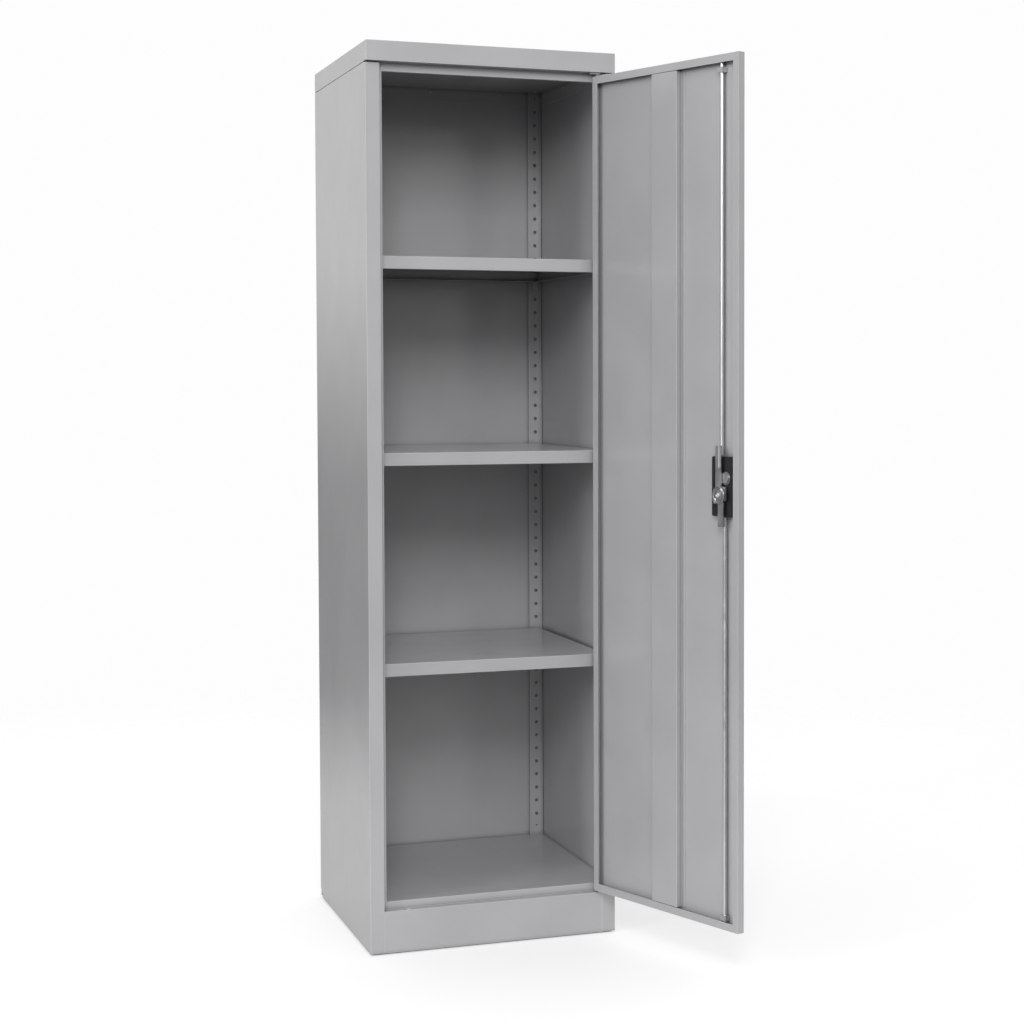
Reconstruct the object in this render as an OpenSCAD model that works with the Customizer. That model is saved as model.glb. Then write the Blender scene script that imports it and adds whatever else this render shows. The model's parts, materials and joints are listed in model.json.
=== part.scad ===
// Tall single-door steel locker cabinet with three adjustable shelves.
// Origin: centre of the carcass footprint on the floor. +X right, +Y to the back, +Z up.

/* [Cabinet] */
// Overall height, floor to the top of the cap
cabinet_h = 1800; // [1790:1:1810]
// Overall width of the carcass
cabinet_w = 510; // [480:1:600]
// Depth of the carcass, from post fronts to the rear flanges
cabinet_d = 510; // [480:1:600]
// Thickness of all the sheet steel
sheet_t = 1; // [0.8:0.1:1.2]
// Width of the front posts
post_w = 28; // [26:1:36]
// Depth of the rebate that the door closes into
rebate_d = 17; // [17:1:20]
// Width of the rebate strip beside the door opening
strip_w = 8; // [6:1:10]

/* [Cap and base] */
// Height of the cap's skirt
cap_h = 39; // [35:1:42]
// How far the cap stands in front of the posts
cap_overhang = 9; // [4:1:14]
// Shadow gap between the posts and the cap
cap_gap = 3; // [2:0.5:4]
// Height of the plinth's top edge
plinth_top = 86; // [80:1:88]
// Thickness of the base frame that stands on the floor
base_t = 3; // [2:0.5:4]

/* [Shelves] */
// Distance between the holes of the uprights
hole_pitch = 30; // [29.5:0.5:30]
// Hole number that carries each shelf, counted from the floor
shelf_holes = [45, 32, 18];
// Height of a shelf's edge
shelf_h = 26; // [24:1:30]
// Top of the fixed bottom shelf
floor_top = 102; // [98:1:106]

/* [Door] */
// Thickness of the door
door_t = 15; // [15:1:15]
// Gap between the door's sides and the posts
door_gap = 3; // [3:0.5:4]
// Height of the door's lower edge
door_bottom = 91; // [91:1:94]
// Height of the door's upper edge
door_top = 1752; // [1746:1:1752]
// Width of the door's inner lips
lip_w = 15; // [13:1:17]
// How far the door stands open
door_open = 109; // [0:1:112]

/* [Lock] */
// Handle axis, measured from the door's hinge edge
cam_from_hinge = 399; // [398:1:400]
// Height of the handle axis
cam_z = 922; // [900:1:925]
// Distance from the handle axis to the two rod pins
cam_pin_r = 13; // [12.8:0.1:13.2]
// Diameter of the locking rods
rod_d = 7; // [6:0.5:7]

/* [Hidden] */
$fn = 48;
mitre = 0.4;
half_w = cabinet_w / 2;
half_d = cabinet_d / 2;
front_y = -half_d;
inner_w = half_w - sheet_t;
post_x = half_w - post_w;
strip_x = post_x - strip_w;
strip_y = front_y + rebate_d;
return_d = 12;
return_y = strip_y + return_d;
back_y = half_d - 2 * sheet_t;

cap_z = cabinet_h - cap_h;
post_top = cap_z - cap_gap;
ceiling_z = cabinet_h - 16;
ceiling_flange = 32;
header_z = 1744;
rear_flange = 15;
base_flange = 22;
floor_flange = 20;
rear_rail_h = 57;
base_inset = 6;
base_bar = 25;
toe_cut_y = 24;
toe_cut_z = 20;

upright_w = 30;
upright_d = 6;
upright_hole_r = 4.2;
fixing_hole_r = 2.2;
fixing_z = 123;
slot_w = 3;
slot_h = 10;
top_slot_z = 1770;
front_upright_y = -203;
first_hole = 5;
last_hole = 58;
rear_upright_x = inner_w - sheet_t - upright_w / 2;
upright_face_x = inner_w - sheet_t - upright_d;
upright_face_y = back_y - sheet_t - upright_d;

clip_t = 1.2;
clip_w = 12;
clip_h = 18;
clip_reach = 12;
clip_peg_r = 3.6;
clip_peg = 4;

shelf_gap = 2;
shelf_half_w = upright_face_x - shelf_gap;
shelf_front = return_y + 1;
shelf_back = upright_face_y - shelf_gap;
shelf_return = 10;

rivet_r = 3;
rivet_t = 1.5;

door_w = 2 * (post_x - door_gap);
hinge_x = door_w / 2;
door_back = front_y + door_t;
skin_in = front_y + sheet_t;
pivot = [hinge_x - 1.8, front_y + 3];
pin_r = 2;
pin_reach = 6.5;
running = 0.05;
arm_t = 2.5;
arm_l = 40;
arm_w = 10;
arm_eye_r = 3;
bracket_t = 3;
bracket_w = 22;
hinge_rivet_r = 2;
hinge_rivet_t = 1;
washer_r = 3;
flange_hole_r = 2.6;
gap = 0.2;

hat_face = [190, 266];
hat_flange = 10;

lock_z = 938;
lock_from_hinge = 397;
lock_w = 57;
lock_h = 114;
lock_r = 4;
lock_wall = 2;
lock_face = front_y + 12;
cam_x = hinge_x - cam_from_hinge;
lock_x = hinge_x - lock_from_hinge;
barrel_x = cam_x - 11;
barrel_z = cam_z + 32;
barrel_r = 9;
barrel_nut_r = 12.5;
barrel_nut = 1.7;
barrel_head_r = 12;
barrel_head_t = 2;
plug_r = 6;
lever_t = 2;
lever_w = 18;
lever_l = 27;
key_slot = [1.6, 8, 8];
plate_t = 2.5;
plate_h = 130;
plate_r = 12;
plate_face = front_y - plate_t;

rod_r = rod_d / 2;
rod_y = front_y + 7;
upper_rod_x = cam_x + 7;
lower_rod_x = cam_x - 2;
rod_guide_r = rod_r + 0.08;
guide_w = 16;
guide_h = 10;
upper_guide_z = 1719;
lower_guide_z = 107;
rod_hole_r = 5;
rod_flat = 3;

link_t = 3;
link_y = lock_face + 5;
link_slot = [10.6, 6.2];
link_slot_r = 3;
link_slot_x = 11.1;
link_foot_x = [4.5, 17.3];
link_foot_z = [-16.3, 10];
link_strip_x = [-4, 11];
link_strip_z = 8;
upper_weld = [76, 94];
lower_weld = [44, 60];
rib_x = 0.5;
rib_r = 2.5;
rib_low = 52;

cam_y = link_y + link_t + 0.4;
cam_t = 3.5;
cam_r = 17.3;
cam_pin_half = 2.5;
cam_head_r = 4.5;
cam_head_t = 1.5;
spindle_r = 4;
spindle_screw_r = 5;
spindle_screw_t = 2.5;
bush_r = 7;
bush_flange_r = 9;
hub_r = 13;
hub_t = 3;
grip_l = 44;
grip_w = 14;
grip_t = 11;
pin_rise = cam_pin_r * sin(45);

PAINT = "#b4b5b8";
STEEL = "#d5d7da";
CAST = "#8d8f93";
BLACK = "#26272a";

// Folding helpers: a path follows the sheet's outer face and the metal lies on its left.
function unit(v) = v / norm(v);
function left_of(a, b) = let (d = unit(b - a)) [-d[1], d[0]];
function inner_point(path, i, t) =
    let (last = len(path) - 1)
    let (before = left_of(path[max(i - 1, 0)], path[max(i, 1)]))
    let (after = left_of(path[min(i, last - 1)], path[min(i + 1, last)]))
    path[i] + t * (before + after) / (1 + before * after);
function folded(path, t) =
    concat(path, [for (i = [len(path) - 1:-1:0]) inner_point(path, i, t)]);

module upright_fold(path, length, t = sheet_t) {
    linear_extrude(length) polygon(folded(path, t));
}

// A fold that runs along X, with its path given as [y, z] points
module cross_fold(path, half_length, t = sheet_t) {
    translate([-half_length, 0, 0])
        rotate([90, 0, 90])
            linear_extrude(2 * half_length) polygon(folded(path, t));
}

// A box given by its lowest and highest corners
module block(low, high) {
    translate(low) cube(high - low);
}

// A cylinder along Y from y0 to y1
module bar_y(x, z, r, y0, y1) {
    translate([x, y0, z]) rotate([-90, 0, 0]) cylinder(r = r, h = y1 - y0);
}

// A cylinder along Z from z0 to z1
module bar_z(at, r, z0, z1) {
    translate([at[0], at[1], z0]) cylinder(r = r, h = z1 - z0);
}

// A rounded rectangle in the XZ plane, from y0 to y1
module rounded_plate(x, z, w, h, r, y0, y1) {
    translate([x, y1, z])
        rotate([90, 0, 0])
            linear_extrude(y1 - y0) {
                square([w - 2 * r, h], center = true);
                square([w, h - 2 * r], center = true);
                for (sx = [-1, 1], sz = [-1, 1])
                    translate([sx * (w / 2 - r), sz * (h / 2 - r)]) circle(r);
            }
}

// Carries what is drawn on the closed door to the open door
module on_door() {
    translate([pivot[0], pivot[1], 0])
        rotate([0, 0, door_open])
            translate([-pivot[0], -pivot[1], 0])
                children();
}

// ---- Carcass ----

// One sheet: rear flange, side, post, jamb, rebate strip and return
module side_panel() {
    outline = [
        [-half_w + rear_flange, half_d], [-half_w, half_d], [-half_w, front_y],
        [-post_x, front_y], [-post_x, strip_y], [-strip_x, strip_y], [-strip_x, return_y]];
    color(PAINT) difference() {
        union() {
            translate([0, 0, base_t]) upright_fold(outline, post_top - base_t);
            block([-inner_w, return_y, base_t],
                  [-inner_w + base_flange, half_d - toe_cut_y - sheet_t, base_t + sheet_t]);
        }
        // the toe cut at the rear lower corner
        translate([-half_w - 1, half_d, base_t])
            rotate([90, 0, 90])
                linear_extrude(rear_flange + 2)
                    polygon([[-toe_cut_y, -1], [1, -1], [1, toe_cut_z], [0, toe_cut_z],
                             [-toe_cut_y, 0]]);
    }
}

module left_side_panel() {
    side_panel();
}

module right_side_panel() {
    mirror([1, 0, 0]) side_panel();
}

module back_panel() {
    color(PAINT) block([-inner_w, back_y, base_t],
                       [inner_w, back_y + sheet_t, ceiling_z + sheet_t]);
}

// A tray turned over, with a return under the front skirt that carries the upper hinge
module top_cap() {
    cap_front = front_y - cap_overhang;
    color(PAINT) difference() {
        union() {
            difference() {
                block([-half_w, cap_front, cap_z], [half_w, half_d, cabinet_h]);
                block([-inner_w, cap_front + sheet_t, cap_z - 1],
                      [inner_w, half_d - sheet_t, cabinet_h - sheet_t]);
            }
            block([-inner_w, cap_front + sheet_t, cap_z], [inner_w, strip_y, cap_z + sheet_t]);
        }
        on_closed_rod(upper_rod_x, cap_z - 1, cap_z + 2);
    }
}

// The hole that a locking rod enters, on the closed door
module on_closed_rod(x, z0, z1) {
    bar_z([x, rod_y], rod_hole_r, z0, z1);
}

// The inner ceiling, with a flange down each side and the back
module ceiling_panel() {
    flange_z = ceiling_z - ceiling_flange;
    color(PAINT) {
        block([-inner_w, strip_y + sheet_t, ceiling_z], [inner_w, back_y, ceiling_z + sheet_t]);
        for (side = [0, 1])
            mirror([side, 0, 0])
                block([-inner_w, strip_y + sheet_t, flange_z],
                      [-inner_w + sheet_t, back_y, ceiling_z]);
        block([-inner_w + sheet_t, back_y - sheet_t, flange_z],
              [inner_w - sheet_t, back_y, ceiling_z]);
    }
}

module header_rail() {
    outline = [
        [return_y, ceiling_z], [strip_y, ceiling_z], [strip_y, header_z], [return_y, header_z]];
    color(PAINT) {
        cross_fold(outline, strip_x);
        block([-inner_w, strip_y, post_top], [inner_w, strip_y + sheet_t, ceiling_z]);
    }
}

module bottom_shelf() {
    color(PAINT) {
        block([-inner_w, return_y, floor_top - sheet_t], [inner_w, back_y, floor_top]);
        block([-strip_x, strip_y, floor_top - sheet_t], [strip_x, return_y, floor_top]);
        block([-strip_x, strip_y, plinth_top], [strip_x, strip_y + sheet_t, floor_top - sheet_t]);
        for (side = [0, 1])
            mirror([side, 0, 0])
                block([-inner_w, return_y, floor_top - floor_flange],
                      [-inner_w + sheet_t, back_y, floor_top - sheet_t]);
        block([-inner_w + sheet_t, back_y - sheet_t, floor_top - floor_flange],
              [inner_w - sheet_t, back_y, floor_top - sheet_t]);
    }
}

module plinth_front() {
    outline = [
        [strip_y, plinth_top], [front_y, plinth_top], [front_y, base_t], [strip_y, base_t]];
    color(PAINT) difference() {
        cross_fold(outline, post_x);
        bar_z(pivot, flange_hole_r, plinth_top - 2, plinth_top + 1);
        on_closed_rod(lower_rod_x, plinth_top - 2, plinth_top + 1);
    }
}

module plinth_rear() {
    rail_y = back_y - floor_flange;
    outline = [[rail_y, base_t], [back_y, base_t], [back_y, base_t + rear_rail_h]];
    color(PAINT) cross_fold(outline, inner_w - base_flange);
}

// The ring of flat bar that the whole cabinet stands on
module base_frame() {
    outer = [half_w - base_inset, half_d - base_inset];
    inner = outer - [base_bar, base_bar];
    color(PAINT) difference() {
        block([-outer[0], -outer[1], 0], [outer[0], outer[1], base_t]);
        block([-inner[0], -inner[1], -1], [inner[0], inner[1], base_t + 1]);
    }
}

// ---- Uprights and clips ----

// A perforated channel: its face is the XZ plane and its back is open towards +Y
module upright() {
    half = upright_w / 2;
    outline = [[-half, upright_d], [-half, 0], [half, 0], [half, upright_d]];
    color(PAINT) difference() {
        translate([0, 0, floor_top]) upright_fold(outline, ceiling_z - floor_top);
        for (hole = [first_hole:last_hole])
            bar_y(0, hole * hole_pitch, upright_hole_r, -1, 2);
        bar_y(0, fixing_z, fixing_hole_r, -1, 2);
        block([-slot_w / 2, -1, top_slot_z - slot_h / 2],
              [slot_w / 2, 2, top_slot_z + slot_h / 2]);
    }
}

// Places a child that is drawn on an upright's face: side is -1 at the left, 1 at the right
module on_rear_upright(side) {
    translate([side * rear_upright_x, upright_face_y, 0]) children();
}

module on_front_upright(side) {
    translate([side * upright_face_x, front_upright_y, 0]) rotate([0, 0, -90 * side]) children();
}

module front_left_upright() {
    on_front_upright(-1) upright();
}

module front_right_upright() {
    on_front_upright(1) upright();
}

module rear_left_upright() {
    on_rear_upright(-1) upright();
}

module rear_right_upright() {
    on_rear_upright(1) upright();
}

// A hook: plate on the upright, tongue under the shelf, peg in the hole
module shelf_clip(hole) {
    z = hole * hole_pitch;
    color(STEEL) {
        block([-clip_w / 2, -clip_t, z - clip_h / 2], [clip_w / 2, 0, z + clip_h / 2]);
        block([-clip_w / 2, -clip_t - clip_reach, z + clip_h / 2 - clip_t],
              [clip_w / 2, -clip_t, z + clip_h / 2]);
        bar_y(0, z, clip_peg_r, 0, clip_peg);
    }
}

module shelf_clips() {
    for (hole = shelf_holes, side = [-1, 1]) {
        on_rear_upright(side) shelf_clip(hole);
        on_front_upright(side) shelf_clip(hole);
    }
}

module ceiling_rivets() {
    flange_x = inner_w - sheet_t;
    rivet_z = ceiling_z - 10;
    color(STEEL) {
        for (side = [-1, 1], y = [-68, 77, 222])
            translate([side * flange_x, y, rivet_z])
                rotate([0, -90 * side, 0]) cylinder(r = rivet_r, h = rivet_t);
        for (x = [-160, 0, 160])
            bar_y(x, rivet_z, rivet_r, back_y - sheet_t - rivet_t, back_y - sheet_t);
        for (x = [-236, 236], y = [-200, 236])
            bar_z([x, y], rivet_r, ceiling_z - rivet_t, ceiling_z);
    }
}

// ---- Hinges ----

// A plate with the pin's hole, from y to the rebate
module hinge_bracket(y, z) {
    color(STEEL) difference() {
        block([post_x - bracket_w, y, z], [post_x, strip_y, z + bracket_t]);
        bar_z(pivot, pin_r + running, z - 1, z + bracket_t + 1);
    }
}

module upper_hinge_bracket() {
    hinge_bracket(front_y, cap_z - bracket_t);
}

// Hangs under the plinth's top flange
module lower_hinge_bracket() {
    hinge_bracket(skin_in, plinth_top - sheet_t - bracket_t);
}

module hinge_rivets() {
    at = [post_x - bracket_w + 5, strip_y - 4];
    color(STEEL) for (z = [cap_z - bracket_t - hinge_rivet_t, plinth_top])
        bar_z(at, hinge_rivet_r, z, z + hinge_rivet_t);
}

// The flat plate that is welded on an edge of the door and carries a pin
module hinge_arm(z) {
    color(STEEL) on_door() {
        block([hinge_x - arm_l, front_y, z], [pivot[0], front_y + arm_w, z + arm_t]);
        bar_z(pivot, arm_eye_r, z, z + arm_t);
    }
}

module upper_hinge_arm() {
    hinge_arm(door_top);
}

module lower_hinge_arm() {
    hinge_arm(door_bottom - arm_t);
}

module upper_hinge_pin() {
    foot = door_top + arm_t;
    color(STEEL) on_door() bar_z(pivot, pin_r, foot, foot + pin_reach);
}

module lower_hinge_pin() {
    foot = door_bottom - arm_t;
    color(STEEL) on_door() bar_z(pivot, pin_r, foot - pin_reach, foot);
}

module hinge_washer(low, high) {
    color(BLACK) difference() {
        bar_z(pivot, washer_r, low, high);
        bar_z(pivot, pin_r + gap, low - 1, high + 1);
    }
}

module upper_hinge_spacer() {
    on_door() hinge_washer(door_top + arm_t, cap_z - bracket_t - gap);
}

module lower_hinge_washer() {
    hinge_washer(plinth_top, door_bottom - arm_t - gap);
}

// ---- Door ----

// One folded pan: skin, four edges and four mitred inner lips
module door_panel() {
    middle_z = (door_bottom + door_top) / 2;
    half_h = (door_top - door_bottom) / 2;
    color(PAINT) on_door() difference() {
        block([-hinge_x, front_y, door_bottom], [hinge_x, door_back, door_top]);
        block([-hinge_x + sheet_t, skin_in, door_bottom + sheet_t],
              [hinge_x - sheet_t, door_back - sheet_t, door_top - sheet_t]);
        block([-hinge_x + lip_w, skin_in, door_bottom + lip_w],
              [hinge_x - lip_w, door_back + 1, door_top - lip_w]);
        for (sx = [-1, 1], sz = [-1, 1])
            translate([sx * hinge_x, door_back - sheet_t / 2, middle_z + sz * half_h])
                rotate([0, sx * sz * 45, 0])
                    cube([mitre, sheet_t + 0.1, 2 * lip_w * sqrt(2)], center = true);
        bar_z([upper_rod_x, rod_y], rod_r + 0.5, middle_z, door_top + 1);
        bar_z([lower_rod_x, rod_y], rod_r + 0.5, door_bottom - 1, middle_z);
        bar_y(cam_x, cam_z, bush_r + 1, front_y - 1, skin_in + 1);
        bar_y(barrel_x, barrel_z, barrel_r + 0.5, front_y - 1, skin_in + 1);
    }
}

module door_stiffener() {
    foot_y = skin_in + sheet_t;
    near = hinge_x - hat_face[0];
    far = hinge_x - hat_face[1];
    outline = [
        [near + hat_flange, foot_y], [near, foot_y], [near, door_back],
        [far, door_back], [far, foot_y], [far - hat_flange, foot_y]];
    low = door_bottom + lip_w + sheet_t;
    color(PAINT) on_door()
        translate([0, 0, low]) upright_fold(outline, door_top - lip_w - sheet_t - low);
}

// ---- Lock on the door ----

module lock_housing() {
    color(BLACK) on_door() difference() {
        rounded_plate(lock_x, lock_z, lock_w, lock_h, lock_r, skin_in, lock_face);
        rounded_plate(lock_x, lock_z, lock_w - 2 * lock_wall, lock_h - 2 * lock_wall, lock_wall,
                      skin_in - 1, lock_face - lock_wall);
        bar_y(cam_x, cam_z, bush_r + running, skin_in, lock_face + 1);
        bar_y(barrel_x, barrel_z, barrel_r + gap, skin_in, lock_face + 1);
    }
}

// The fixed barrel: head outside, body through the door, flat nut inside
module lock_barrel() {
    color(CAST) on_door() difference() {
        union() {
            bar_y(barrel_x, barrel_z, barrel_head_r, plate_face - barrel_head_t, plate_face);
            bar_y(barrel_x, barrel_z, barrel_r, plate_face, lock_face);
            bar_y(barrel_x, barrel_z, barrel_nut_r, lock_face, lock_face + barrel_nut);
        }
        bar_y(barrel_x, barrel_z, plug_r + running, plate_face - barrel_head_t - 1,
              lock_face + barrel_nut + 1);
    }
}

// The part that the key turns: the key slot at its outer end, a flat lever at its inner end
module lock_plug() {
    start = plate_face - barrel_head_t - 0.5;
    lever_y = lock_face + barrel_nut + gap;
    color(STEEL) on_door() {
        difference() {
            bar_y(barrel_x, barrel_z, plug_r, start, lever_y);
            block([barrel_x - key_slot[0] / 2, start - 1, barrel_z - key_slot[1] / 2],
                  [barrel_x + key_slot[0] / 2, start + key_slot[2], barrel_z + key_slot[1] / 2]);
        }
        bar_y(barrel_x, barrel_z, lever_w / 2, lever_y, lever_y + lever_t);
        block([barrel_x, lever_y, barrel_z - lever_w / 2],
              [barrel_x + lever_l, lever_y + lever_t, barrel_z + lever_w / 2]);
    }
}

module handle_escutcheon() {
    color(BLACK) on_door() difference() {
        rounded_plate(lock_x, lock_z, lock_w, plate_h, plate_r, plate_face, front_y);
        bar_y(cam_x, cam_z, spindle_r + 1, plate_face - 1, front_y + 1);
        bar_y(barrel_x, barrel_z, barrel_r + gap, plate_face - 1, front_y + 1);
    }
}

// The bush that the spindle turns in, with a flange behind the housing's face
module spindle_bush() {
    flange_y = lock_face - lock_wall;
    color("#c9c6ba") on_door() difference() {
        union() {
            bar_y(cam_x, cam_z, bush_flange_r, flange_y - 2, flange_y);
            bar_y(cam_x, cam_z, bush_r, flange_y, lock_face);
        }
        bar_y(cam_x, cam_z, spindle_r + running, flange_y - 3, lock_face + 1);
    }
}

module rod_guide(x, low) {
    color(STEEL) on_door() difference() {
        block([x - guide_w / 2, skin_in, low], [x + guide_w / 2, rod_y + rod_r + 1.5, low + guide_h]);
        bar_z([x, rod_y], rod_guide_r, low - 1, low + guide_h + 1);
    }
}

module upper_rod_guide() {
    rod_guide(upper_rod_x, upper_guide_z);
}

module lower_rod_guide() {
    rod_guide(lower_rod_x, lower_guide_z);
}

// ---- Handle, spindle and cam ----

// A wing handle that lies level when the rods are drawn back
module turn_handle() {
    hub_y = plate_face - gap;
    grip_y = hub_y - hub_t;
    reach = (grip_l - grip_w) / 2;
    color(BLACK) on_door() {
        bar_y(cam_x, cam_z, hub_r, grip_y, hub_y);
        block([cam_x - reach, grip_y - grip_t, cam_z - grip_w / 2],
              [cam_x + reach, grip_y, cam_z + grip_w / 2]);
        for (side = [-1, 1])
            bar_y(cam_x + side * reach, cam_z, grip_w / 2, grip_y - grip_t, grip_y);
    }
}

module handle_spindle() {
    color(STEEL) on_door() bar_y(cam_x, cam_z, spindle_r, plate_face - gap, cam_y);
}

module rod_cam() {
    color(CAST) on_door() bar_y(cam_x, cam_z, cam_r, cam_y, cam_y + cam_t);
}

// Two pins, half a turn apart: the first drives the upper rod, the second the lower one
module cam_pins() {
    color(STEEL) on_door()
        for (side = [-1, 1]) {
            x = cam_x - side * pin_rise;
            z = cam_z + side * pin_rise;
            bar_y(x, z, cam_pin_half, lock_face + gap, cam_y);
            bar_y(x, z, cam_head_r, cam_y + cam_t, cam_y + cam_t + cam_head_t);
        }
}

module spindle_screw() {
    face = cam_y + cam_t;
    color(STEEL) on_door() bar_y(cam_x, cam_z, spindle_screw_r, face, face + spindle_screw_t);
}

// ---- Locking rods ----

// A rod's flat bar, drawn about the cam axis for the upper rod: a foot with the slot for the cam
// pin, a strip, and a pad that is welded to the rod, which lies at rod_at, from weld[0] to weld[1]
module rod_link(rod_at, weld) {
    difference() {
        union() {
            block([link_foot_x[0], link_y, link_foot_z[0]],
                  [link_foot_x[1], link_y + link_t, link_foot_z[1]]);
            block([link_strip_x[0], link_y, link_strip_z],
                  [link_strip_x[1], link_y + link_t, weld[1]]);
            block([rod_at - rod_r, rod_y + rod_flat, weld[0]], [rod_at + rod_r, link_y, weld[1]]);
        }
        rounded_plate(link_slot_x, -pin_rise, link_slot[0], link_slot[1], link_slot_r,
                      link_y - 1, link_y + link_t + 1);
    }
}

// The rod is flat on one side from flat_low to flat_high, where its link is
module locking_rod(x, low, high, flat_low, flat_high) {
    color(STEEL) on_door() difference() {
        bar_z([x, rod_y], rod_r, low, high);
        block([x - rod_d, rod_y + rod_flat, flat_low], [x + rod_d, rod_y + rod_d, flat_high]);
    }
}

module upper_rod() {
    end_z = cam_z + upper_weld[0];
    locking_rod(upper_rod_x, end_z, door_top - 1, end_z - 1, cam_z + upper_weld[1]);
}

// Its strip is stiffened by a half-round rib
module upper_rod_link() {
    color(STEEL) on_door()
        translate([cam_x, 0, cam_z]) {
            rod_link(upper_rod_x - cam_x, upper_weld);
            bar_z([rib_x, link_y + link_t], rib_r, rib_low, upper_weld[1]);
        }
}

module lower_rod() {
    end_z = cam_z - lower_weld[0];
    locking_rod(lower_rod_x, door_bottom + 1, end_z, cam_z - lower_weld[1], end_z + 1);
}

// The same bar turned half round the cam axis
module lower_rod_link() {
    color(STEEL) on_door()
        translate([cam_x, 0, cam_z])
            mirror([1, 0, 0])
                mirror([0, 0, 1])
                    rod_link(cam_x - lower_rod_x, lower_weld);
}

// ---- Adjustable shelves ----

// A shallow pan turned over, with a return along the foot of each edge
module shelf(hole) {
    low = hole * hole_pitch + clip_h / 2;
    high = low + shelf_h;
    color(PAINT) difference() {
        block([-shelf_half_w, shelf_front, low], [shelf_half_w, shelf_back, high]);
        block([-shelf_half_w + sheet_t, shelf_front + sheet_t, low + sheet_t],
              [shelf_half_w - sheet_t, shelf_back - sheet_t, high - sheet_t]);
        block([-shelf_half_w + shelf_return, shelf_front + shelf_return, low - 1],
              [shelf_half_w - shelf_return, shelf_back - shelf_return, low + 2 * sheet_t]);
    }
}

module top_shelf() {
    shelf(shelf_holes[0]);
}

module middle_shelf() {
    shelf(shelf_holes[1]);
}

module lower_shelf() {
    shelf(shelf_holes[2]);
}

left_side_panel();
right_side_panel();
back_panel();
top_cap();
ceiling_panel();
header_rail();
bottom_shelf();
plinth_front();
plinth_rear();
base_frame();
front_left_upright();
front_right_upright();
rear_left_upright();
rear_right_upright();
shelf_clips();
ceiling_rivets();
upper_hinge_bracket();
lower_hinge_bracket();
hinge_rivets();
lower_hinge_washer();
door_panel();
door_stiffener();
upper_hinge_arm();
lower_hinge_arm();
upper_hinge_pin();
lower_hinge_pin();
upper_hinge_spacer();
lock_housing();
lock_barrel();
handle_escutcheon();
spindle_bush();
upper_rod_guide();
lower_rod_guide();
turn_handle();
handle_spindle();
rod_cam();
cam_pins();
spindle_screw();
upper_rod();
upper_rod_link();
lower_rod();
lower_rod_link();
lock_plug();
top_shelf();
middle_shelf();
lower_shelf();
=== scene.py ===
"""Steel locker cabinet: finishes, detailed hardware, floor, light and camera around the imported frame."""
import json
import math

import bmesh
import bpy
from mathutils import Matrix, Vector


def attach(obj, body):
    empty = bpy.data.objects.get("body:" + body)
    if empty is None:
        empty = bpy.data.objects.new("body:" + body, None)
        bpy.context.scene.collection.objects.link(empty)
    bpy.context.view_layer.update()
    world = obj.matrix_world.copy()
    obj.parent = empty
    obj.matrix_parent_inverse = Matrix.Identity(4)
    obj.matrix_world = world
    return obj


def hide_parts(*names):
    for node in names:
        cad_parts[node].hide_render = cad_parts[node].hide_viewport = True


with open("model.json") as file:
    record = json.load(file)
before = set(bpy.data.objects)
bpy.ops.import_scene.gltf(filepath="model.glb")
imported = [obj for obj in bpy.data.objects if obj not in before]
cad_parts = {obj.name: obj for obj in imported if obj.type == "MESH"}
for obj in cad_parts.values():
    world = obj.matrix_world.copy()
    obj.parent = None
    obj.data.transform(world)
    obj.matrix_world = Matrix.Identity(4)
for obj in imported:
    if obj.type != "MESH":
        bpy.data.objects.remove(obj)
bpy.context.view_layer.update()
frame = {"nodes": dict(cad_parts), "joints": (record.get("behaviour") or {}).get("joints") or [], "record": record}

NODES = frame["nodes"]
JOINTS = {joint["name"]: joint for joint in frame["joints"]}
MM = 0.001
# Middle of the cabinet
MIDDLE = Vector((0, 0, 0.9))
WHITE = (1, 1, 1, 1)


# ---- Materials ----

def map_range(tree, source, low, high, to_low, to_high):
    """Adds a node that takes low..high to to_low..to_high and returns its output."""
    node = tree.nodes.new("ShaderNodeMapRange")
    for socket, value in zip(list(node.inputs)[1:5], (low, high, to_low, to_high)):
        socket.default_value = value
    tree.links.new(source, node.inputs["Value"])
    return node.outputs["Result"]


def scaled(color, factor):
    """The colour made darker or paler."""
    return tuple(channel * factor for channel in color)


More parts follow.
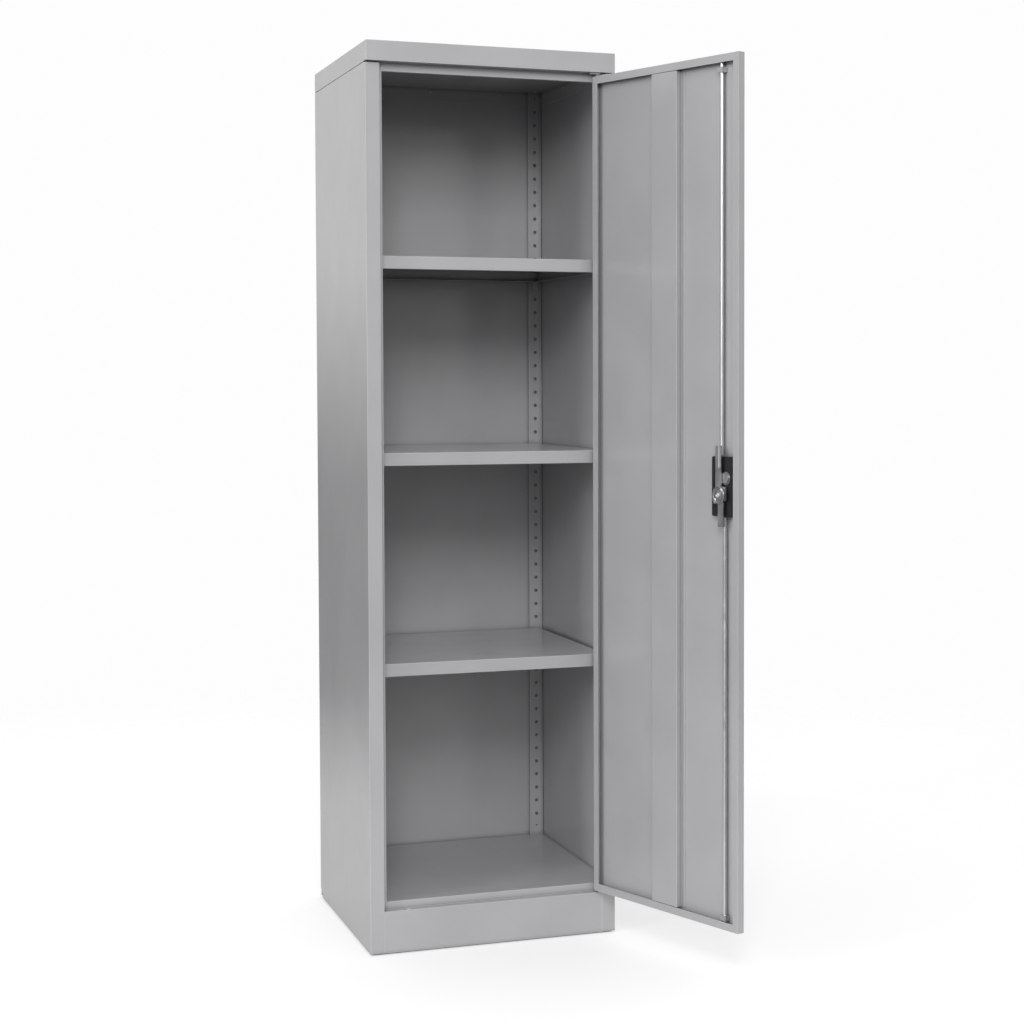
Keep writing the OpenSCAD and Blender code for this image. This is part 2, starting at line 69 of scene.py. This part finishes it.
class Graph:
    """A short way to write a node tree: each method adds one node and returns its output."""

    def __init__(self, name):
        self.material = bpy.data.materials.new(name)
        self.material.use_nodes = True
        self.tree = self.material.node_tree
        self.shader = self.tree.nodes["Principled BSDF"]
        self.place = self.tree.nodes.new("ShaderNodeTexCoord").outputs["Object"]

    def link(self, source, socket):
        self.tree.links.new(source, socket)

    def noise(self, scale, detail=2.0, roughness=0.5, place=None):
        node = self.tree.nodes.new("ShaderNodeTexNoise")
        node.inputs["Scale"].default_value = scale
        node.inputs["Detail"].default_value = detail
        node.inputs["Roughness"].default_value = roughness
        self.link(place or self.place, node.inputs["Vector"])
        return node.outputs["Fac"]

    def stretched(self, factors):
        node = self.tree.nodes.new("ShaderNodeMapping")
        node.inputs["Scale"].default_value = factors
        self.link(self.place, node.inputs["Vector"])
        return node.outputs["Vector"]

    def remap(self, source, low, high, to_low, to_high):
        return map_range(self.tree, source, low, high, to_low, to_high)

    def mix(self, factor, first, second):
        node = self.tree.nodes.new("ShaderNodeMix")
        node.data_type = "RGBA"
        self.link(factor, node.inputs[0])
        for socket, value in ((node.inputs[6], first), (node.inputs[7], second)):
            if isinstance(value, tuple):
                socket.default_value = (*value, 1)
            else:
                self.link(value, socket)
        return node.outputs[2]

    def edges(self, radius):
        """1 along convex edges and 0 on flat faces."""
        bevel = self.tree.nodes.new("ShaderNodeBevel")
        bevel.samples = 4
        bevel.inputs["Radius"].default_value = radius
        geometry = self.tree.nodes.new("ShaderNodeNewGeometry")
        dot = self.tree.nodes.new("ShaderNodeVectorMath")
        dot.operation = "DOT_PRODUCT"
        self.link(bevel.outputs["Normal"], dot.inputs[0])
        self.link(geometry.outputs["Normal"], dot.inputs[1])
        return self.remap(dot.outputs["Value"], 0.999, 0.8, 0.0, 1.0)

    def shelter(self, distance):
        """0 deep in a corner or a hole and 1 in the open."""
        node = self.tree.nodes.new("ShaderNodeAmbientOcclusion")
        node.samples = 6
        node.inputs["Distance"].default_value = distance
        return self.remap(node.outputs["AO"], 0.15, 0.85, 0.0, 1.0)

    def bump(self, height, distance, strength=1.0):
        node = self.tree.nodes.new("ShaderNodeBump")
        node.inputs["Distance"].default_value = distance
        node.inputs["Strength"].default_value = strength
        self.link(height, node.inputs["Height"])
        self.link(node.outputs["Normal"], self.shader.inputs["Normal"])

    def finish(self, color, roughness, metallic=0.0, specular=0.5, coat=0.0, coat_roughness=0.2):
        inputs = self.shader.inputs
        self.link(color, inputs["Base Color"])
        self.link(roughness, inputs["Roughness"])
        inputs["Metallic"].default_value = metallic
        inputs["Specular IOR Level"].default_value = specular
        inputs["Coat Weight"].default_value = coat
        inputs["Coat Roughness"].default_value = coat_roughness
        return self.material


# How far from a corner the painted shade reaches, and how wide the painted highlight along an edge is
PAINTED_SHADE_REACH = 14 * MM
PAINTED_HIGHLIGHT_WIDTH = 1.6 * MM


def powder_coat(name, base, gloss):
    """Satin powder coat: fine orange peel and faint mottling, with painted shade in corners and holes and a
    painted highlight along convex edges.
    """
    g = Graph(name)
    mottling = g.remap(g.noise(7.0, 3.0), 0.35, 0.65, 0.0, 1.0)
    body = g.mix(mottling, scaled(base, 0.965), scaled(base, 1.03))
    specks = g.remap(g.noise(900.0, 1.0), 0.4, 0.75, 0.0, 0.10)
    speckled = g.mix(specks, body, scaled(base, 0.8))
    # Painted shade: the colour darkens towards 0.3 of the base in corners, creases and holes, found by ambient
    # occlusion
    painted_corner_shade = g.mix(g.shelter(PAINTED_SHADE_REACH), scaled(base, 0.3), speckled)
    # Painted highlight: the colour pales to 1.6 times the base along convex edges and folds
    painted_edge_highlight = g.mix(g.edges(PAINTED_HIGHLIGHT_WIDTH), painted_corner_shade, scaled(base, 1.6))
    roughness = g.remap(g.noise(24.0, 3.0), 0.3, 0.7, gloss - 0.035, gloss + 0.035)
    g.bump(g.noise(620.0, 2.0), 0.00009, 0.5)
    return g.finish(painted_edge_highlight, roughness, coat=0.8, coat_roughness=0.14)


def plated_steel(name, base, gloss, grain=(400.0, 400.0, 6.0)):
    """Drawn or plated steel: long fine grain and a dull bloom in patches."""
    g = Graph(name)
    streaks = g.noise(1.0, 4.0, place=g.stretched(grain))
    color = g.mix(g.remap(streaks, 0.3, 0.7, 0.0, 1.0), scaled(base, 0.86), base)
    roughness = g.remap(g.noise(60.0, 3.0), 0.3, 0.7, gloss - 0.06, gloss + 0.1)
    g.bump(streaks, 0.00002, 0.4)
    return g.finish(color, roughness, metallic=1.0)


def cast_zinc(name, base):
    """Die-cast zinc: a dull, slightly grainy metal."""
    g = Graph(name)
    color = g.mix(g.remap(g.noise(300.0, 4.0), 0.35, 0.65, 0.0, 1.0), scaled(base, 0.8), base)
    roughness = g.remap(g.noise(180.0, 2.0), 0.3, 0.7, 0.34, 0.5)
    g.bump(g.noise(500.0, 3.0), 0.00006, 0.5)
    return g.finish(color, roughness, metallic=1.0)


def moulded_plastic(name, base, gloss, grain):
    """Spark-eroded moulding: a fine even grain."""
    g = Graph(name)
    color = g.mix(g.remap(g.noise(40.0, 3.0), 0.3, 0.7, 0.0, 1.0), scaled(base, 0.85), base)
    roughness = g.remap(g.noise(90.0, 2.0), 0.3, 0.7, gloss - 0.05, gloss + 0.06)
    g.bump(g.noise(grain, 2.0), 0.00008, 0.6)
    return g.finish(color, roughness, specular=0.45)


FINISHES = {
    "carcass_paint": powder_coat("carcass_paint", (0.455, 0.457, 0.466), 0.5),
    "door_paint": powder_coat("door_paint", (0.455, 0.457, 0.466), 0.46),
    "shelf_paint": powder_coat("shelf_paint", (0.465, 0.467, 0.476), 0.34),
    "zinc_plate": plated_steel("zinc_plate", (0.62, 0.63, 0.65), 0.36, (60.0, 60.0, 60.0)),
    "bright_rod": plated_steel("bright_rod", (0.9, 0.91, 0.93), 0.34),
    "die_cast_zinc": cast_zinc("die_cast_zinc", (0.42, 0.425, 0.43)),
    "black_plastic": moulded_plastic("black_plastic", (0.016, 0.016, 0.018), 0.45, 900.0),
    "nylon": moulded_plastic("nylon", (0.55, 0.53, 0.48), 0.4, 500.0),
}


# ---- Pieces rebuilt from the CAD nodes, with folds, rolled edges and turned heads ----

BODY_OF = {node: body for body, nodes in frame["record"]["behaviour"]["bodies"].items() for node in nodes}
SLOT_OF = {entry["node"]: entry["material_slot"] for entry in frame["record"]["subparts"]}
SHEET_SLOTS = {"carcass_paint", "door_paint", "shelf_paint"}
# A face narrower than this is the cut edge of a sheet
SHEET = 1.15 * MM
# Points closer than this are one point
WELD = 0.004 * MM
# Faces that meet at less than FLAT are one face, and edges above SHARP get a radius
FLAT = math.radians(0.6)
SHARP = math.radians(35)
# A turned form stays smooth up to this angle
TURNED_SMOOTH = math.radians(50)
# Outer radius of a fold in millimetres
FOLD = 1.5
# Share of the fold radius that the inside of a fold and a cut edge get
INNER_FOLD = 0.34
CUT_EDGE = 0.08
# Edge radius in millimetres of the solid pieces with each finish
EDGE = {"zinc_plate": 0.3, "bright_rod": 0.5, "die_cast_zinc": 0.5, "black_plastic": 1.0, "nylon": 0.3}
# Solid pieces with an edge radius of their own
ROUNDED = {"turn_handle": 2.6, "handle_escutcheon": 0.9, "lock_housing": 1.3, "base_frame": 0.4,
           "upper_hinge_arm": 0.5, "lower_hinge_arm": 0.5, "upper_rod_link": 0.5,
           "lower_rod_link": 0.5, "lock_plug": 0.35}


def clean_mesh(node):
    """The node's mesh with its faces joined and each flat area in one piece."""
    shape = bmesh.new()
    shape.from_mesh(NODES[node].data)
    bmesh.ops.remove_doubles(shape, verts=shape.verts, dist=WELD)
    bmesh.ops.dissolve_limit(shape, angle_limit=FLAT, verts=shape.verts, edges=shape.edges)
    shape.normal_update()
    return shape


def reach(face, edge):
    """How far the face goes from the edge, square to it."""
    start = edge.verts[0].co
    across = face.normal.cross((edge.verts[1].co - start).normalized())
    steps = [across.dot(vert.co - start) for vert in face.verts]
    return max(steps) - min(steps)


def edge_weight(edge, folded):
    """1 along the outside of a fold, less along its inside and least along a cut edge."""
    if len(edge.link_faces) != 2 or edge.calc_face_angle(0.0) < SHARP:
        return 0.0
    if not folded:
        return 1.0
    if min(reach(face, edge) for face in edge.link_faces) < SHEET:
        return CUT_EDGE
    return 1.0 if edge.is_convex else INNER_FOLD


def add_piece(name, shape, node):
    """Makes a piece of the mesh that stands for the node."""
    mesh = bpy.data.meshes.new(name)
    shape.to_mesh(mesh)
    shape.free()
    for polygon in mesh.polygons:
        polygon.use_smooth = True
    mesh.materials.append(FINISHES[SLOT_OF[node]])
    piece = bpy.data.objects.new(name, mesh)
    bpy.context.scene.collection.objects.link(piece)
    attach(piece, BODY_OF[node])
    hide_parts(node)
    return piece


def rebuild(node):
    """A copy of the CAD node with real radii along its edges."""
    slot = SLOT_OF[node]
    folded = slot in SHEET_SLOTS and node not in ROUNDED
    shape = clean_mesh(node)
    weights = shape.edges.layers.float.new("bevel_weight_edge")
    for edge in shape.edges:
        edge[weights] = edge_weight(edge, folded)
    piece = add_piece(node + "_detail", shape, node)
    bevel = piece.modifiers.new("radii", "BEVEL")
    bevel.limit_method = "WEIGHT"
    radius = FOLD if folded else ROUNDED.get(node, EDGE.get(slot))
    bevel.width = radius * MM
    bevel.segments = 3
    flats = piece.modifiers.new("flat faces", "WEIGHTED_NORMAL")
    flats.mode = "FACE_AREA"
    flats.weight = 100


def islands(node):
    """The corner points of each separate solid in a node, from the lowest solid up."""
    shape = clean_mesh(node)
    left = set(shape.verts)
    found = []
    for start in shape.verts:
        if start not in left:
            continue
        left.remove(start)
        points = []
        front = [start]
        while front:
            vert = front.pop()
            points.append(vert.co.copy())
            for edge in vert.link_edges:
                other = edge.other_vert(vert)
                if other in left:
                    left.remove(other)
                    front.append(other)
        found.append(points)
    shape.free()
    return found


def measure(points, axis):
    """A round solid's foot on its axis, its length and its radius, in metres."""
    heights = [point.dot(axis) for point in points]
    low, high = min(heights), max(heights)
    flat = [point - axis * point.dot(axis) for point in points]
    middle = Vector([(min(p[k] for p in flat) + max(p[k] for p in flat)) / 2 for k in range(3)])
    radius = max((p - middle).length for p in flat)
    return middle + axis * low, high - low, radius


def turn(shape, profile, place, axis, segments=40):
    """Adds a turned form: profile is (radius, height) pairs in millimetres along axis from place."""
    side = axis.orthogonal().normalized()
    other = axis.cross(side)
    rings = []
    for radius, height in profile:
        centre = place + axis * height * MM
        if radius == 0:
            rings.append([shape.verts.new(centre)])
            continue
        rings.append([shape.verts.new(centre + radius * MM * (side * math.cos(a) + other * math.sin(a)))
                      for a in (2 * math.pi * k / segments for k in range(segments))])
    for low, high in zip(rings, rings[1:]):
        for k in range(segments):
            below = (low[k % len(low)], low[(k + 1) % len(low)])
            above = (high[(k + 1) % len(high)], high[k % len(high)])
            shape.faces.new(list(dict.fromkeys(below + above)))


def turned_piece(node, forms):
    """A piece made of turned forms, each given as (profile, foot, axis)."""
    shape = bmesh.new()
    for profile, foot, axis in forms:
        turn(shape, profile, foot, axis)
    bmesh.ops.recalc_face_normals(shape, faces=shape.faces)
    piece = add_piece(node + "_detail", shape, node)
    sharp = piece.modifiers.new("crisp edges", "EDGE_SPLIT")
    sharp.split_angle = TURNED_SMOOTH


def domed(radius, height):
    """The profile of a rivet head, from its foot to its crown."""
    crown = [(radius * math.cos(a), height * (0.25 + 0.75 * math.sin(a)))
             for a in (math.radians(15 * k) for k in range(6))]
    return [(0, 0), (radius, 0), *crown, (0, height)]


def chamfered(radius, height, cut):
    """The profile of a round bar with its end edges broken."""
    return [(0, 0), (radius - cut, 0), (radius, cut),
            (radius, height - cut), (radius - cut, height), (0, height)]


def recessed(radius, height):
    """The profile of a pan head with a round socket."""
    return [(0, 0), (radius, 0), (radius, 0.45 * height), (0.93 * radius, 0.8 * height),
            (0.78 * radius, height), (0.48 * radius, height), (0.42 * radius, 0.9 * height),
            (0.4 * radius, 0.2 * height), (0, 0.12 * height)]


def stamped_disc(radius, height):
    """The profile of the cam: a broken rim and a shallow ring around the screw."""
    return [(0, 0), (radius - 0.5, 0), (radius, 0.5), (radius, height - 0.9), (radius - 0.9, height),
            (radius - 3.2, height), (radius - 3.7, height - 0.4), (0.45 * radius, height - 0.4),
            (0.41 * radius, height), (0, height)]


def rivet_heads(node):
    """Domed heads where the CAD node has flat ones, with their crowns towards the inside."""
    forms = []
    for points in islands(node):
        size = [max(p[k] for p in points) - min(p[k] for p in points) for k in range(3)]
        thin = size.index(min(size))
        axis = Vector((0, 0, 0))
        axis[thin] = 1.0 if MIDDLE[thin] > points[0][thin] else -1.0
        foot, height, radius = measure(points, axis)
        forms.append((domed(radius / MM, height / MM), foot, axis))
    turned_piece(node, forms)


# From the outside of the open door to its inside
INWARD = -Vector(JOINTS["handle_turn"]["axis"]).normalized()


def turned_lock_part(node, profile):
    """Each round solid of a lock node, turned with a profile of its radius and height."""
    forms = []
    for points in islands(node):
        foot, height, radius = measure(points, INWARD)
        forms.append((profile(radius / MM, height / MM), foot, INWARD))
    turned_piece(node, forms)


def pin_profile(radius, height):
    """A head is short and domed, and a shank is a plain bar."""
    if height < radius:
        return domed(radius, height)
    return chamfered(radius, height, 0.3)


TURNED = {
    "ceiling_rivets": rivet_heads,
    "hinge_rivets": rivet_heads,
    "rod_cam": lambda node: turned_lock_part(node, stamped_disc),
    "spindle_screw": lambda node: turned_lock_part(node, recessed),
    "cam_pins": lambda node: turned_lock_part(node, pin_profile),
}
# The perforated uprights keep their CAD meshes, whose many holes are already sharp and exact
PUNCHED = {"front_left_upright", "front_right_upright", "rear_left_upright", "rear_right_upright"}
for name in sorted(NODES):
    if name in PUNCHED:
        NODES[name].data.materials.clear()
        NODES[name].data.materials.append(FINISHES[SLOT_OF[name]])
    else:
        TURNED.get(name, rebuild)(name)


# ---- Floor, light and camera ----

FLOOR_RADIUS = 14.0
# Distances from the origin between which the floor fades out
FADE = (1.4, 3.4)
FLOOR_GREY = 0.62
# Half the height of the band in which the surroundings pass from bright to dim
HORIZON = 0.05


def build_floor(glow):
    """A pale floor that fades into the white surroundings, with a glow that only the camera gets."""
    mesh = bpy.data.meshes.new("floor")
    shape = bmesh.new()
    bmesh.ops.create_circle(shape, cap_ends=True, segments=64, radius=FLOOR_RADIUS)
    shape.to_mesh(mesh)
    shape.free()
    floor = bpy.data.objects.new("floor", mesh)
    bpy.context.scene.collection.objects.link(floor)
    g = Graph("floor_white")
    tree = g.tree
    spread = tree.nodes.new("ShaderNodeVectorMath")
    spread.operation = "LENGTH"
    g.link(g.place, spread.inputs[0])
    away = g.remap(spread.outputs["Value"], *FADE, 0.0, 1.0)
    seen = tree.nodes.new("ShaderNodeLightPath").outputs["Is Camera Ray"]
    g.link(g.remap(seen, 0.0, 1.0, 0.0, glow), g.shader.inputs["Emission Strength"])
    g.shader.inputs["Emission Color"].default_value = WHITE
    g.shader.inputs["Base Color"].default_value = (FLOOR_GREY, FLOOR_GREY, FLOOR_GREY, 1)
    g.shader.inputs["Roughness"].default_value = 0.6
    g.shader.inputs["Specular IOR Level"].default_value = 0.15
    clear = tree.nodes.new("ShaderNodeBsdfTransparent")
    blend = tree.nodes.new("ShaderNodeMixShader")
    g.link(away, blend.inputs[0])
    g.link(g.shader.outputs[0], blend.inputs[1])
    g.link(clear.outputs[0], blend.inputs[2])
    g.link(blend.outputs[0], tree.nodes["Material Output"].inputs["Surface"])
    mesh.materials.append(g.material)


def build_world(seen, above, below):
    """White to the camera, and a dimmer light on everything that is weaker below the horizon."""
    world = bpy.data.worlds.new("studio")
    world.use_nodes = True
    bpy.context.scene.world = world
    tree = world.node_tree
    lamp = tree.nodes["Background"]
    lamp.inputs["Color"].default_value = WHITE
    height = tree.nodes.new("ShaderNodeSeparateXYZ")
    tree.links.new(tree.nodes.new("ShaderNodeTexCoord").outputs["Generated"], height.inputs[0])
    strength = map_range(tree, height.outputs["Z"], -HORIZON, HORIZON, below, above)
    tree.links.new(strength, lamp.inputs["Strength"])
    white = tree.nodes.new("ShaderNodeBackground")
    white.inputs["Color"].default_value = WHITE
    white.inputs["Strength"].default_value = seen
    path = tree.nodes.new("ShaderNodeLightPath")
    choose = tree.nodes.new("ShaderNodeMixShader")
    tree.links.new(path.outputs["Is Camera Ray"], choose.inputs[0])
    tree.links.new(lamp.outputs[0], choose.inputs[1])
    tree.links.new(white.outputs[0], choose.inputs[2])
    tree.links.new(choose.outputs[0], tree.nodes["World Output"].inputs["Surface"])


def softbox(name, place, size, power):
    """A flat rectangular light that faces the middle of the cabinet."""
    data = bpy.data.lights.new(name, "AREA")
    data.shape = "RECTANGLE"
    data.size, data.size_y = size
    data.energy = power
    lamp = bpy.data.objects.new(name, data)
    lamp.location = place
    lamp.rotation_euler = (MIDDLE - Vector(place)).to_track_quat("-Z", "Y").to_euler()
    bpy.context.scene.collection.objects.link(lamp)


def build_camera():
    """Stands to the front left at chest height and looks slightly down."""
    data = bpy.data.cameras.new("camera")
    data.lens = 73.72
    data.sensor_width = 36.0
    data.shift_x = -0.1811
    data.shift_y = -0.0494
    data.clip_end = 100.0
    camera = bpy.data.objects.new("camera", data)
    camera.location = (-1.1347, -4.3154, 1.1516)
    camera.rotation_euler = (math.radians(90 - 2.39), 0, math.radians(-21.17))
    bpy.context.scene.collection.objects.link(camera)
    bpy.context.scene.camera = camera


build_floor(0.43)
build_world(0.985, 0.84, 0.02)
softbox("key", (-2.2, -7.6, 3.3), (2.4, 3.6), 40)
softbox("near", (-1.2, -4.6, 3.2), (1.0, 1.4), 68)
softbox("side", (-6.0, -2.6, 2.6), (1.0, 3.0), 78)
build_camera()
bpy.context.scene.view_settings.view_transform = "Standard"
